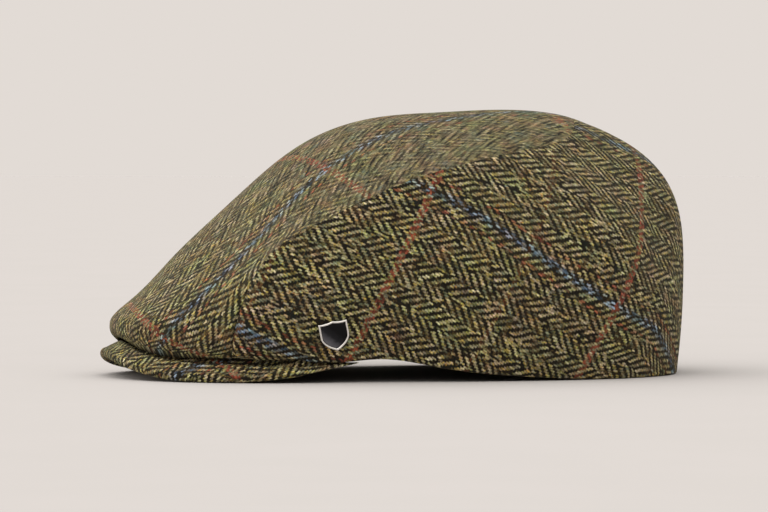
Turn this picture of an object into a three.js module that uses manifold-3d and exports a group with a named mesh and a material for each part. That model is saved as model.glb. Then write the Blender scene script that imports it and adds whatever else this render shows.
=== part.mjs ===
// Flat cap in wool tweed, resting on its back hem and on the two low sides of its peak.
// Millimetres, +Z up, the peak points to -Y, the wearer's left is +X.
// The crown is two side panels and one top panel, laid over ribs that run from the hem
// over the seam to the middle of the crown. The stiff peak sits under the front edge.
import * as THREE from 'three';
import { mergeVertices } from 'three/addons/utils/BufferGeometryUtils.js';
import Module from 'manifold-3d';

const wasm = await Module();
wasm.setup();

// Driving sizes.
const CLOTH = 2.4;            // thickness of the panel cloth
const GAP = 0.3;              // gap left between neighbouring pieces
const ROWS_ALONG = 44;        // grid rows from the front of the crown to the back
const COLUMNS_TOP = 22;       // grid columns across the top panel
const COLUMNS_SIDE = 13;      // grid columns from the hem to the seam
const HEM_PULL = 0.56;        // how far the wall follows its flare, as a share of the rib
const SEAM_PULL = 0.35;       // how far the wall follows its lean, as a share of the rib
const FLAT_PULL = 0.2;        // how much further it does where it lies flat at the seam
const FLAT_POWER = 4;         // how quickly that fades as the wall stands up
const FRONT_CLOSE = 1.25;     // power that brings the grid rows closer at the rolled front edge
const CORNER_PRESS = 40;      // ribs shorter than this have thinner cloth
const PRESS_LEAST = 0.3;      // the thinnest share of the cloth there
const PRESS_GAP = 3.5;        // how many gaps wide the seam would be where the cloth has no thickness
const MITRE_LEAST = 0.6;      // cosine of the sharpest mitre between two panels
const HEM_SETTLE = 0.25;      // a hem this close to the surface lies flat on it
const TOP_TIP = 0.2;          // the top panel's back point is blunt by this share of its last row

// The peak in plan is a crescent between two half ovals centred on the line of its tips.
const PEAK = {
  tipY: -41,                  // line of the two tips
  innerX: 77, innerY: 39,     // half width and depth of the inner edge
  outerX: 80, outerY: 95.3,   // half width and depth of the top surface's outer edge
  nose: 2.2,                  // how far the rounded edge goes beyond that
  round: 2.2,                 // power of the outline, 2 is an ellipse
  dropPower: 1.6,             // how the top surface falls from the inner edge to the outer
  blunt: 0.12,                // share of the thickness that is left at the very edge
  steps: 44, across: 8, noseSteps: 3,
};

// One row for each direction of the peak, in degrees from its middle to its tip.
const PEAK_ROWS = [
  // angle, edge z, inner z, thick
  [0, 13.6, 31.0, 4.8],
  [15, 11.2, 29.4, 4.8],
  [30, 7.6, 25.0, 4.8],
  [45, 5.1, 17.5, 4.8],
  [60, 4.7, 11.8, 4.6],
  [75, 5.5, 10.0, 3.6],
  [90, 8.5, 8.5, 1.6],
];

// One row for each rib of the crown's left half, from the front to the back.
// Crest is on the middle line, seam joins the top panel to the side, hem is the lower edge.
// Flare is how far the wall leans out at the hem and lean its slope at the seam, in degrees.
// Bow and arch shape the top panel's rib in plan and in height: 0 is a parabola, more is boxier,
// less is more pointed.
const RIBS = [
  // crest y, z, seam x, y, z, hem x, y, z, flare, lean, bow, arch
  [-129.4, 18.0, 66.0, -89.0, 9.0, 66.0, -89.0, 9.0, 20, 60, 0.6, 0],
  [-133.8, 23.8, 69.0, -89.8, 17.0, 70.2, -81.0, 9.0, 19, 78, 0.6, -0.3],
  [-124.2, 35.2, 72.2, -87.0, 32.5, 73.6, -73.0, 9.0, 18, 80, 0.4, -0.5],
  [-105.0, 54.8, 75.8, -79.8, 50.5, 76.7, -63.0, 9.0, 16, 80, -0.5, -0.9],
  [-85.8, 73.2, 78.3, -68.5, 63.5, 78.7, -52.0, 9.0, 14, 78, -1, -1],
  [-63.0, 93.4, 79.5, -51.0, 73.0, 79.9, -39.0, 9.4, 12, 76, -0.2, -0.4],
  [-39.0, 110.4, 79.0, -29.0, 83.5, 81.2, -20.0, 10.4, 12, 74, 0.5, -0.4],
  [-9.0, 120.3, 76.0, -5.0, 93.0, 82.4, 4.0, 6.4, 11, 70, 0.6, -0.4],
  [21.0, 122.8, 70.0, 19.0, 99.5, 82.4, 30.0, 3.1, 10, 60, 0.5, -0.4],
  [45.0, 124.2, 60.5, 41.0, 104.2, 78.0, 62.0, 1.0, 8, 56, 0.4, -0.4],
  [65.0, 123.7, 47.5, 62.0, 107.8, 65.0, 97.6, 0.0, 8, 46, 0.3, -0.4],
  [79.0, 121.8, 29.0, 78.5, 113.8, 37.0, 125.0, 0.0, 6, 42, 0.2, -0.2],
  [84.5, 120.4, 0.0, 84.5, 120.4, 0.0, 134.0, 0.0, 6, 18, 0.1, -0.1],
];

// Soft dents of the standing cloth on the left panel, in the side view.
const DENTS = [
  // y, z, half length, half width, turn in degrees, depth
  [1, 37, 34, 11, -22, 1.6],
  [-23, 76, 20, 9, 28, 1.2],
  [117, 62, 26, 9, 84, 1.4],
  [-63, 46, 15, 8, 55, 1.0],
];

// Shield badge, in its own plane, and where its middle sits on the left side panel.
const BADGE = {
  halfWidth: 6.6, top: 5.9, bottom: 7.5,
  plate: 1.5, rim: 0.9, recess: 0.6, enamelGap: 0.1, lift: 0.45,
  crestDip: 0.5,              // how far the top edge dips and its middle rises
  shoulder: -0.6,             // where the straight sides end
  belly: 0.62, bellyIn: 0.4,  // the lower curves' handles, as a share of the bottom and inward
  pointInset: 1.25,           // the bottom point draws in faster than the sides
  post: 0.7, postHole: 1.1, headRadius: 3.2, head: 1.2, holeFrom: -6, holeTo: 3,
  overlap: 0.1,               // how far the post runs into its clutch head
  enamelDrop: 0.15,           // how far the enamel lies below the rim
  curveSteps: 8, rodSides: 24,
  y: -45.4, z: 22.5, turn: 12,
  searchAlong: 120, searchUp: 80,
};
const MERGE = 1e-4;           // vertices closer than this are one

const TWEED = new THREE.MeshStandardMaterial({ color: 0x5b5540, roughness: 0.95, metalness: 0 });
const METAL = new THREE.MeshStandardMaterial({ color: 0xc4c4c2, roughness: 0.25, metalness: 1 });
const ENAMEL = new THREE.MeshStandardMaterial({ color: 0x17171a, roughness: 0.15, metalness: 0 });

// A natural cubic spline through the values at the knots.
function spline(knots, values) {
  const last = knots.length - 1;
  const bend = new Array(last + 1).fill(0);
  const work = new Array(last + 1).fill(0);
  for (let i = 1; i < last; i += 1) {
    const before = knots[i] - knots[i - 1];
    const after = knots[i + 1] - knots[i];
    const share = before / (before + after);
    const pivot = share * bend[i - 1] + 2;
    const turn = (values[i + 1] - values[i]) / after - (values[i] - values[i - 1]) / before;
    bend[i] = (share - 1) / pivot;
    work[i] = (6 * turn / (before + after) - share * work[i - 1]) / pivot;
  }
  bend[last] = 0;
  for (let i = last - 1; i >= 0; i -= 1) {
    bend[i] = bend[i] * bend[i + 1] + work[i];
  }
  return (at) => {
    let i = 0;
    while (i < last - 1 && at > knots[i + 1]) {
      i += 1;
    }
    const step = knots[i + 1] - knots[i];
    const a = (knots[i + 1] - at) / step;
    const b = (at - knots[i]) / step;
    const curve = (a ** 3 - a) * bend[i] + (b ** 3 - b) * bend[i + 1];
    return a * values[i] + b * values[i + 1] + curve * step * step / 6;
  };
}

const column = (rows, index) => rows.map((row) => row[index]);

// Two mirrored rows before the middle keep the peak smooth across it.
const peakMirror = PEAK_ROWS.slice(1, 3).reverse().map(([angle, ...rest]) => [-angle, ...rest]);
const peakRows = [...peakMirror, ...PEAK_ROWS];
const peakAngles = column(peakRows, 0);
const edgeZ = spline(peakAngles, column(peakRows, 1));
const innerZ = spline(peakAngles, column(peakRows, 2));
const thickness = spline(peakAngles, column(peakRows, 3));

// Point of the peak's top surface: degrees from the middle, 0..1 from inner to outer edge.
function peakPoint(angle, across) {
  const turn = THREE.MathUtils.degToRad(angle);
  const halfX = THREE.MathUtils.lerp(PEAK.innerX, PEAK.outerX, across);
  const halfY = THREE.MathUtils.lerp(PEAK.innerY, PEAK.outerY, across);
  const side = Math.min(Math.abs(angle), 90);
  const fall = (edgeZ(side) - innerZ(side)) * across ** PEAK.dropPower;
  const x = Math.sign(angle) * halfX * Math.abs(Math.sin(turn)) ** (2 / PEAK.round);
  const y = PEAK.tipY - halfY * Math.abs(Math.cos(turn)) ** (2 / PEAK.round);
  return new THREE.Vector3(x, y, innerZ(side) + fall);
}

// Height of the peak's top surface under a plan point.
function peakTop(x, y) {
  const sizeAt = (across) => [
    THREE.MathUtils.lerp(PEAK.innerX, PEAK.outerX, across),
    THREE.MathUtils.lerp(PEAK.innerY, PEAK.outerY, across),
  ];
  const forward = Math.max(PEAK.tipY - y, 0);
  const halvings = 40;
  let low = 0;
  let high = 1.3;
  for (let i = 0; i < halvings; i += 1) {
    const middle = (low + high) / 2;
    const [halfX, halfY] = sizeAt(middle);
    if ((Math.abs(x) / halfX) ** PEAK.round + (forward / halfY) ** PEAK.round < 1) {
      high = middle;
    } else {
      low = middle;
    }
  }
  const [halfX, halfY] = sizeAt(low);
  const half = PEAK.round / 2;
  const turn = Math.atan2((Math.abs(x) / halfX) ** half, (forward / halfY) ** half);
  return peakPoint(THREE.MathUtils.radToDeg(turn), low).z;
}

// Ribs are spaced by the mean of the crest's and the seam's length.
// Two mirrored ribs past the last one keep the back smooth across the middle.
const [seamX, hemX] = [2, 5];
const mirrorRib = (row) => row.map((value, i) => (i === seamX || i === hemX ? -value : value));
const ribs = [...RIBS, ...RIBS.slice(-3, -1).reverse().map(mirrorRib)];
const ribKnots = [0];
for (let i = 1; i < ribs.length; i += 1) {
  const [a, b] = [ribs[i - 1], ribs[i]];
  const crestStep = Math.hypot(b[0] - a[0], b[1] - a[1]);
  const seamStep = Math.hypot(b[2] - a[2], b[3] - a[3], b[4] - a[4]);
  ribKnots.push(ribKnots[i - 1] + (crestStep + seamStep) / 2);
}
const ribLength = ribKnots[RIBS.length - 1];
const ribColumns = RIBS[0].map((_, index) => spline(ribKnots, column(ribs, index)));

function ribAt(along) {
  const value = ribColumns.map((at) => at(along));
  const rib = {
    crest: new THREE.Vector3(0, value[0], value[1]),
    seam: new THREE.Vector3(value[2], value[3], value[4]),
    hem: new THREE.Vector3(value[5], value[6], Math.max(value[7] - HEM_SETTLE, 0)),
    flare: THREE.MathUtils.degToRad(value[8]),
    lean: THREE.MathUtils.degToRad(value[9]),
    bow: value[10],
    arch: value[11],
  };
  if (rib.hem.y < PEAK.tipY) {
    rib.hem.z = peakTop(rib.hem.x, rib.hem.y) + GAP;
  }
  return rib;
}

// Share of the way from the crest to the seam that a rib has bowed or dropped.
function fall(share, shape) {
  return share ** 2 * (1 - shape + shape * share ** 2);
}

// Top panel: each rib bows back in plan and arches down from the crest to both seams.
function topPoint(along, across) {
  const rib = ribAt(along);
  const share = Math.abs(across);
  const y = THREE.MathUtils.lerp(rib.crest.y, rib.seam.y, fall(share, rib.bow));
  const z = THREE.MathUtils.lerp(rib.crest.z, rib.seam.z, fall(share, rib.arch));
  return new THREE.Vector3(rib.seam.x * across, y, z);
}

// Side panel: a cubic curve from the hem to the seam, leaning out across the hem line.
function sidePoint(along, up) {
  const rib = ribAt(along);
  const ahead = ribAt(along + 1).hem;
  const behind = ribAt(Math.max(along - 1, 0)).hem;
  const out = new THREE.Vector3(ahead.y - behind.y, behind.x - ahead.x, 0).normalize();
  const reach = rib.hem.distanceTo(rib.seam);
  const low = rib.hem.clone().addScaledVector(out, HEM_PULL * reach * Math.sin(rib.flare));
  low.z += HEM_PULL * reach * Math.cos(rib.flare);
  const follow = reach * (SEAM_PULL + FLAT_PULL * Math.cos(rib.lean) ** FLAT_POWER);
  const high = rib.seam.clone().addScaledVector(out, follow * Math.cos(rib.lean));
  high.z -= follow * Math.sin(rib.lean);
  return new THREE.CubicBezierCurve3(rib.hem, low, high, rib.seam).getPoint(up);
}

// How far a dent draws the left panel in at a point of the side view.
function dentAt(y, z) {
  let depth = 0;
  for (const [dentY, dentZ, halfLength, halfWidth, degrees, deep] of DENTS) {
    const turn = THREE.MathUtils.degToRad(degrees);
    const ahead = (y - dentY) * Math.cos(turn) + (z - dentZ) * Math.sin(turn);
    const beside = (z - dentZ) * Math.cos(turn) - (y - dentY) * Math.sin(turn);
    depth += deep * Math.exp(-((ahead / halfLength) ** 2) - (beside / halfWidth) ** 2);
  }
  return depth;
}

// Outward normals of a grid of points by central differences.
function gridNormals(grid) {
  return grid.map((row, i) => row.map((_, j) => {
    const next = grid[Math.min(i + 1, grid.length - 1)][j];
    const before = grid[Math.max(i - 1, 0)][j];
    const right = row[Math.min(j + 1, row.length - 1)];
    const left = row[Math.max(j - 1, 0)];
    const along = next.clone().sub(before);
    return along.cross(right.clone().sub(left)).normalize();
  }));
}

// Closed solid between an outer grid and an inner grid of the same size.
function shell(outer, inner) {
  const rows = outer.length;
  const columns = outer[0].length;
  const points = [...outer.flat(), ...inner.flat()];
  const index = [];
  const at = (layer, i, j) => layer * rows * columns + i * columns + j;
  const quad = (a, b, c, d) => index.push(a, b, c, a, c, d);
  for (let i = 0; i < rows - 1; i += 1) {
    for (let j = 0; j < columns - 1; j += 1) {
      quad(at(0, i, j), at(0, i + 1, j), at(0, i + 1, j + 1), at(0, i, j + 1));
      quad(at(1, i, j), at(1, i, j + 1), at(1, i + 1, j + 1), at(1, i + 1, j));
    }
    const end = columns - 1;
    quad(at(0, i, 0), at(1, i, 0), at(1, i + 1, 0), at(0, i + 1, 0));
    quad(at(0, i, end), at(0, i + 1, end), at(1, i + 1, end), at(1, i, end));
  }
  for (let j = 0; j < columns - 1; j += 1) {
    const end = rows - 1;
    quad(at(0, 0, j), at(0, 0, j + 1), at(1, 0, j + 1), at(1, 0, j));
    quad(at(0, end, j), at(1, end, j), at(1, end, j + 1), at(0, end, j + 1));
  }
  const geometry = new THREE.BufferGeometry().setFromPoints(points);
  geometry.setIndex(index);
  return geometry;
}

function toManifold(geometry) {
  const bare = new THREE.BufferGeometry();
  bare.setAttribute('position', geometry.getAttribute('position'));
  bare.setIndex(geometry.getIndex());
  const merged = mergeVertices(bare, MERGE);
  const mesh = new wasm.Mesh({
    numProp: 3,
    vertProperties: new Float32Array(merged.getAttribute('position').array),
    triVerts: new Uint32Array(merged.getIndex().array),
  });
  return new wasm.Manifold(mesh);
}

function fromManifold(solid) {
  const mesh = solid.getMesh();
  const geometry = new THREE.BufferGeometry();
  geometry.setAttribute('position', new THREE.BufferAttribute(new Float32Array(mesh.vertProperties), 3));
  geometry.setIndex(new THREE.BufferAttribute(new Uint32Array(mesh.triVerts), 1));
  return geometry;
}

function named(name, geometry, material) {
  geometry.computeVertexNormals();
  const mesh = new THREE.Mesh(geometry, material);
  mesh.name = name;
  return mesh;
}

function mirrored(geometry) {
  const copy = geometry.clone();
  copy.scale(-1, 1, 1);
  const index = copy.getIndex();
  for (let i = 0; i < index.count; i += 3) {
    const second = index.getX(i + 1);
    index.setX(i + 1, index.getX(i + 2));
    index.setX(i + 2, second);
  }
  return copy;
}

// Grids of the crown. Rows are closer together at the rolled front edge.
const stations = [];
for (let i = 0; i <= ROWS_ALONG; i += 1) {
  stations.push(ribLength * (i / ROWS_ALONG) ** FRONT_CLOSE);
}
const firstSide = 2;
const topGrid = stations.map((along) => {
  const row = [];
  for (let j = 0; j <= COLUMNS_TOP; j += 1) {
    row.push(topPoint(along, 1 - 2 * j / COLUMNS_TOP));
  }
  return row;
});
topGrid[ROWS_ALONG].forEach((point, j) => point.lerp(topGrid[ROWS_ALONG - 1][j], TOP_TIP));
for (const point of topGrid[0]) {
  point.z = peakTop(point.x, point.y) + GAP;
}
const plainSide = stations.slice(firstSide).map((along) => {
  const row = [];
  for (let j = 0; j <= COLUMNS_SIDE; j += 1) {
    const point = sidePoint(along, j / COLUMNS_SIDE);
    row.push(point.setX(Math.max(point.x, GAP / 2)));
  }
  return row;
});

// Panels share a mitre along the seam: both draw in along the mean of their normals there.
const topNormals = gridNormals(topGrid);
const sideNormals = gridNormals(plainSide);
for (const normal of sideNormals[sideNormals.length - 1]) {
  normal.setX(0).normalize();
}
const mitres = sideNormals.map((row, i) => {
  const top = topNormals[i + firstSide][0];
  const mean = row[COLUMNS_SIDE].clone().add(top);
  mean.setX(i === sideNormals.length - 1 ? 0 : mean.x).normalize();
  return mean.multiplyScalar(CLOTH / Math.max(mean.dot(top), MITRE_LEAST));
});

// The cloth is pressed thin in the narrow front corner, where the ribs are short.
function cornerPress(row) {
  return THREE.MathUtils.clamp(row[0].distanceTo(row[COLUMNS_SIDE]) / CORNER_PRESS, PRESS_LEAST, 1);
}

function sideGeometry(dented) {
  const outer = plainSide.map((row, i) => row.map((point, j) => {
    const depth = dented ? dentAt(point.y, point.z) * Math.sin(Math.PI * j / COLUMNS_SIDE) : 0;
    return point.clone().addScaledVector(sideNormals[i][j], -depth);
  }));
  const inner = outer.map((row, i) => row.map((point, j) => {
    const press = cornerPress(row);
    const draw = j === COLUMNS_SIDE ? mitres[i].clone() : sideNormals[i][j].clone().multiplyScalar(CLOTH);
    return point.clone().addScaledVector(draw, -press);
  }));
  outer.forEach((row, i) => {
    // The seam edge keeps the gap, the hem edge is flat or follows the peak.
    const seamAhead = plainSide[Math.min(i + 1, plainSide.length - 1)][COLUMNS_SIDE];
    const seamBehind = plainSide[Math.max(i - 1, 0)][COLUMNS_SIDE];
    const back = seamAhead.clone().sub(seamBehind);
    const press = cornerPress(row);
    const seamGap = GAP * THREE.MathUtils.lerp(PRESS_GAP, 1, press);
    const down = back.cross(sideNormals[i][COLUMNS_SIDE]).setLength(seamGap);
    row[COLUMNS_SIDE].add(down);
    inner[i][COLUMNS_SIDE].add(down);
    const low = row[0];
    const lowInner = inner[i][0];
    if (low.y < PEAK.tipY + 1) {
      lowInner.z = Math.max(low.z, peakTop(lowInner.x, Math.min(lowInner.y, PEAK.tipY)) + GAP);
    } else {
      lowInner.z = low.z;
    }
  });
  return shell(outer, inner);
}

const topInner = topGrid.map((row, i) => row.map((point, j) => {
  const edge = j === 0 || j === COLUMNS_TOP || i === ROWS_ALONG;
  const draw = topNormals[i][j].clone().multiplyScalar(CLOTH);
  if (edge) {
    draw.copy(mitres[Math.max(i - firstSide, 0)]);
    draw.x *= j === 0 ? 1 : -1;
  }
  return point.clone().sub(draw);
}));
for (const point of topInner[0]) {
  point.z = peakTop(point.x, point.y) + GAP;
}

// Peak: the top surface, its rounded edge and the underside make one ring for each angle.
function peakGeometry() {
  const top = [];
  const under = [];
  for (let i = 0; i <= PEAK.steps; i += 1) {
    const angle = 90 - 180 * i / PEAK.steps;
    const turn = THREE.MathUtils.degToRad(angle);
    const thick = thickness(Math.abs(angle));
    const out = new THREE.Vector3(Math.sin(turn) / PEAK.outerX, -Math.cos(turn) / PEAK.outerY, 0).normalize();
    const row = [];
    const rowUnder = [];
    for (let j = 0; j <= PEAK.across; j += 1) {
      const point = peakPoint(angle, j / PEAK.across);
      row.push(point);
      rowUnder.push(point.clone().setZ(Math.max(point.z - thick, 0)));
    }
    const edge = row[PEAK.across];
    const edgeUnder = rowUnder[PEAK.across];
    const nose = PEAK.nose * thick / PEAK_ROWS[0][3];
    for (let k = 1; k <= PEAK.noseSteps; k += 1) {
      const bend = Math.PI / 2 * k / PEAK.noseSteps;
      const half = (edge.z - edgeUnder.z) / 2;
      const level = edge.z - half;
      const reach = nose * Math.sin(bend);
      const tall = half * THREE.MathUtils.lerp(PEAK.blunt, 1, Math.cos(bend));
      row.push(edge.clone().addScaledVector(out, reach).setZ(level + tall));
      rowUnder.push(edgeUnder.clone().addScaledVector(out, reach).setZ(level - tall));
    }
    top.push(row);
    under.push(rowUnder);
  }
  return shell(top, under);
}

// Badge: a plain shield plate with a raised rim, a post through the cloth and a clutch head.
function shieldShape(inset) {
  const side = BADGE.halfWidth - inset;
  const top = BADGE.top - inset;
  const bottom = -BADGE.bottom + BADGE.pointInset * inset;
  const dip = BADGE.crestDip;
  const handle = side - BADGE.bellyIn;
  const shape = new THREE.Shape();
  shape.moveTo(-side, top);
  shape.quadraticCurveTo(-side / 2, top - dip, 0, top + dip);
  shape.quadraticCurveTo(side / 2, top - dip, side, top);
  shape.lineTo(side, BADGE.shoulder);
  shape.quadraticCurveTo(handle, bottom * BADGE.belly, 0, bottom);
  shape.quadraticCurveTo(-handle, bottom * BADGE.belly, -side, BADGE.shoulder);
  return shape;
}

function slab(inset, from, to) {
  const options = { depth: to - from, bevelEnabled: false, curveSegments: BADGE.curveSteps };
  const geometry = new THREE.ExtrudeGeometry(shieldShape(inset), options);
  geometry.translate(0, 0, from);
  return toManifold(mergeVertices(geometry.deleteAttribute('normal').deleteAttribute('uv'), MERGE));
}

function rod(radius, from, to) {
  const geometry = new THREE.CylinderGeometry(radius, radius, to - from, BADGE.rodSides);
  geometry.rotateX(Math.PI / 2);
  geometry.translate(0, 0, (from + to) / 2);
  return toManifold(mergeVertices(geometry.deleteAttribute('normal').deleteAttribute('uv'), MERGE));
}

// The place on the left panel nearest to the badge's middle, in the side view.
function badgeFrame() {
  let best = null;
  const frontHalf = ribLength / 2;
  for (let i = 0; i <= BADGE.searchAlong; i += 1) {
    for (let j = 0; j <= BADGE.searchUp; j += 1) {
      const along = frontHalf * i / BADGE.searchAlong;
      const up = j / BADGE.searchUp;
      const point = sidePoint(along, up);
      const miss = Math.hypot(point.y - BADGE.y, point.z - BADGE.z);
      if (best === null || miss < best.miss) {
        best = { miss, along, up, point };
      }
    }
  }
  const tangent = sidePoint(best.along + 1, best.up).sub(sidePoint(best.along - 1, best.up));
  const rise = sidePoint(best.along, best.up + 0.01).sub(sidePoint(best.along, best.up - 0.01));
  const normal = tangent.cross(rise).normalize();
  const upright = new THREE.Vector3(0, 0, 1).addScaledVector(normal, -normal.z).normalize();
  const right = upright.clone().cross(normal);
  const origin = best.point.addScaledVector(normal, BADGE.lift);
  const frame = new THREE.Matrix4().makeBasis(right, upright, normal).setPosition(origin);
  return frame.multiply(new THREE.Matrix4().makeRotationZ(THREE.MathUtils.degToRad(BADGE.turn)));
}

const frame = badgeFrame();
const placed = (solid) => fromManifold(solid).applyMatrix4(frame);
const back = -BADGE.lift - CLOTH - 2 * GAP;
const floor = BADGE.plate - BADGE.recess;
const plate = slab(0, 0, BADGE.plate)
  .subtract(slab(BADGE.rim, floor, BADGE.plate + 1))
  .add(rod(BADGE.post, back - BADGE.overlap, BADGE.overlap))
  .add(rod(BADGE.headRadius, back - BADGE.head, back));
const fill = slab(BADGE.rim + BADGE.enamelGap, floor + BADGE.enamelGap, BADGE.plate - BADGE.enamelDrop);
const hole = toManifold(placed(rod(BADGE.postHole, BADGE.holeFrom, BADGE.holeTo)));
const leftSide = fromManifold(toManifold(sideGeometry(true)).subtract(hole));

const cap = new THREE.Group();
cap.name = 'flat_cap';
cap.add(named('top_panel', shell(topGrid, topInner), TWEED));
cap.add(named('side_panel_left', leftSide, TWEED));
cap.add(named('side_panel_right', mirrored(sideGeometry(false)), TWEED));
cap.add(named('peak', peakGeometry(), TWEED));
cap.add(named('badge_plate', placed(plate), METAL));
cap.add(named('badge_enamel', placed(fill), ENAMEL));

export default cap;
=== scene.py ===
# Flat cap in wool tweed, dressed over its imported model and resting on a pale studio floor.
# Lengths in the tables are millimetres and become metres when a mesh is made.
# +Z is up, the peak points to -Y and the wearer's left is +X.
import functools
import math

import bpy
import numpy as np
from mathutils import Matrix


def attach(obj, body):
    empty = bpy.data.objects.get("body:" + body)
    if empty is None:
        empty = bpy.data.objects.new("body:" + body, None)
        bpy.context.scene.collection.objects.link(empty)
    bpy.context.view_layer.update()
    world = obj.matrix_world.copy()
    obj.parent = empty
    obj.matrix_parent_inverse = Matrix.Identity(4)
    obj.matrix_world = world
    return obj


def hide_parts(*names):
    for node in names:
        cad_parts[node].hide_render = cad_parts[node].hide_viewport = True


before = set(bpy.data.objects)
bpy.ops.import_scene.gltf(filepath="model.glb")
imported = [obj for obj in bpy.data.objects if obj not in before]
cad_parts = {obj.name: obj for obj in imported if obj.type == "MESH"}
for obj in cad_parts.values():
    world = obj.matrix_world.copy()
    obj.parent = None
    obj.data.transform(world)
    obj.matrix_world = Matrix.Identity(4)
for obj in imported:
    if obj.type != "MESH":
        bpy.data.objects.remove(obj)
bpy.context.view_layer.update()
MM = 0.001

# Top panel
# One piece of wool tweed that runs from the front edge over the crown to a point at the back.
# It is sewn to a side panel along each long edge, and its front edge rolls down onto the peak.

CLOTH = 2.4  # thickness of the panel cloth with its interlining
GAP = 0.3  # air between the crown and the peak
HEM_SETTLE = 0.25  # how far the hem settles, down to the surface at most
SEAM_SINK = 0.7  # how far the stitches of a seam draw the cloth in
SEAM_REACH = 2.6  # how far from the seam the cloth still sinks
SEAM_GROOVE = 0.5  # depth of the line where two panels meet
SEAM_ROUND = 0.7  # width over which a panel rounds off into that line
TURNED_ROUND = 1.6  # the same on the inside, where the cloth is turned back
POINT_REACH = 30.0  # how far from the back point the seams run out flat
ROLL = 1.4  # how far the crown's front edge rolls under, above the peak
ROLL_REACH = 5.0  # height over which it does
SLOT = 1.9  # how far the rolled edge stands off the peak, as a dark line
SLOT_REACH = 9.0  # height over which the cloth takes that up
SLOT_ENDS = (-51.0, -60.0)  # y where the slot closes and where it is fully open
FRONT_FILL = 3.0  # how far the rolled front edge bulges out over the peak
FILL_REACH = 9.0  # height over which it does
FILL_POWER = 4  # how squarely the bulge ends at the front corners
PUCKER = 0.28  # height of the small puckers along a seam
PUCKER_REACH = 9.0  # how far from the seam they fade out
PUCKER_LENGTHS = (8, 17)  # shortest and longest of them
PUCKER_WAVES = 5  # how many lengths are mixed
RELIEF = 0.55  # height of the slow unevenness of hand-pressed wool
RELIEF_LENGTHS = (34, 80)  # shortest and longest of its waves
RELIEF_WAVES = 9  # how many waves are mixed
COARSE = 1.8  # mesh step inside a panel
FINE = 0.2  # mesh step at a rolled edge
GROWTH = 1.3  # growth from one step to the next between them
FLAT_ROUNDS = 60  # turns of fitting that lay a panel flat
FLAT_WEIGHTS = (0.02, 20)  # least and most say of a triangle's side in that
GRAIN_DEGREE = 3  # degree of the curve in which pressing bends the grain
BAKE_ROOM = 1.04  # room round a panel's flat cut in the bake, as a share of its span
BAKE_MARGIN = 0.01  # where the cut starts in it
SMALL = 1e-6  # keeps thin triangles from failing
TINY = 1e-9  # keeps a division by nothing from failing
UP = np.array([0.0, 0.0, 1.0])

# The peak in plan is a crescent between two half ovals centred on the line of its tips.
PEAK_TIP_Y = -41.0  # line of the two tips
PEAK_INNER = (77.0, 39.0)  # half width and depth of the inner edge
PEAK_OUTER = (80.0, 95.3)  # half width and depth of the top surface's outer edge
PEAK_ROUND = 2.2  # power of the outline, 2 is an ellipse
PEAK_DROP = 1.6  # how the top surface falls from the inner edge to the outer
PEAK_SEARCH = 1.3  # share of its width up to which a place on it is looked for
HALVINGS = 40  # steps of that search
PEAK_ROWS = np.array([
    # angle, edge z, inner z, thick
    [0, 13.6, 31.0, 4.8],
    [15, 11.2, 29.4, 4.8],
    [30, 7.6, 25.0, 4.8],
    [45, 5.1, 17.5, 4.8],
    [60, 4.7, 11.8, 4.6],
    [75, 5.5, 10.0, 3.6],
    [90, 8.5, 8.5, 1.6],
])

# One row for each rib of the crown's left half, from the front to the back.
# Crest is on the middle line, seam joins the top panel to the side, hem is the lower edge.
# Flare is how far the wall leans out at the hem and lean its slope at the seam, in degrees.
# Bow and arch shape the top panel's rib in plan and in height: 0 is a parabola, more is boxier,
# less is more pointed.
RIBS = np.array([
    # crest y, z, seam x, y, z, hem x, y, z, flare, lean, bow, arch
    [-129.4, 18.0, 66.0, -89.0, 9.0, 66.0, -89.0, 9.0, 20, 60, 0.6, 0],
    [-133.8, 23.8, 69.0, -89.8, 17.0, 70.2, -81.0, 9.0, 19, 78, 0.6, -0.3],
    [-124.2, 35.2, 72.2, -87.0, 32.5, 73.6, -73.0, 9.0, 18, 80, 0.4, -0.5],
    [-105.0, 54.8, 75.8, -79.8, 50.5, 76.7, -63.0, 9.0, 16, 80, -0.5, -0.9],
    [-85.8, 73.2, 78.3, -68.5, 63.5, 78.7, -52.0, 9.0, 14, 78, -1, -1],
    [-63.0, 93.4, 79.5, -51.0, 73.0, 79.9, -39.0, 9.4, 12, 76, -0.2, -0.4],
    [-39.0, 110.4, 79.0, -29.0, 83.5, 81.2, -20.0, 10.4, 12, 74, 0.5, -0.4],
    [-9.0, 120.3, 76.0, -5.0, 93.0, 82.4, 4.0, 6.4, 11, 70, 0.6, -0.4],
    [21.0, 122.8, 70.0, 19.0, 99.5, 82.4, 30.0, 3.1, 10, 60, 0.5, -0.4],
    [45.0, 124.2, 60.5, 41.0, 104.2, 78.0, 62.0, 1.0, 8, 56, 0.4, -0.4],
    [65.0, 123.7, 47.5, 62.0, 107.8, 65.0, 97.6, 0.0, 8, 46, 0.3, -0.4],
    [79.0, 121.8, 29.0, 78.5, 113.8, 37.0, 125.0, 0.0, 6, 42, 0.2, -0.2],
    [84.5, 120.4, 0.0, 84.5, 120.4, 0.0, 134.0, 0.0, 6, 18, 0.1, -0.1],
])


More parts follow.
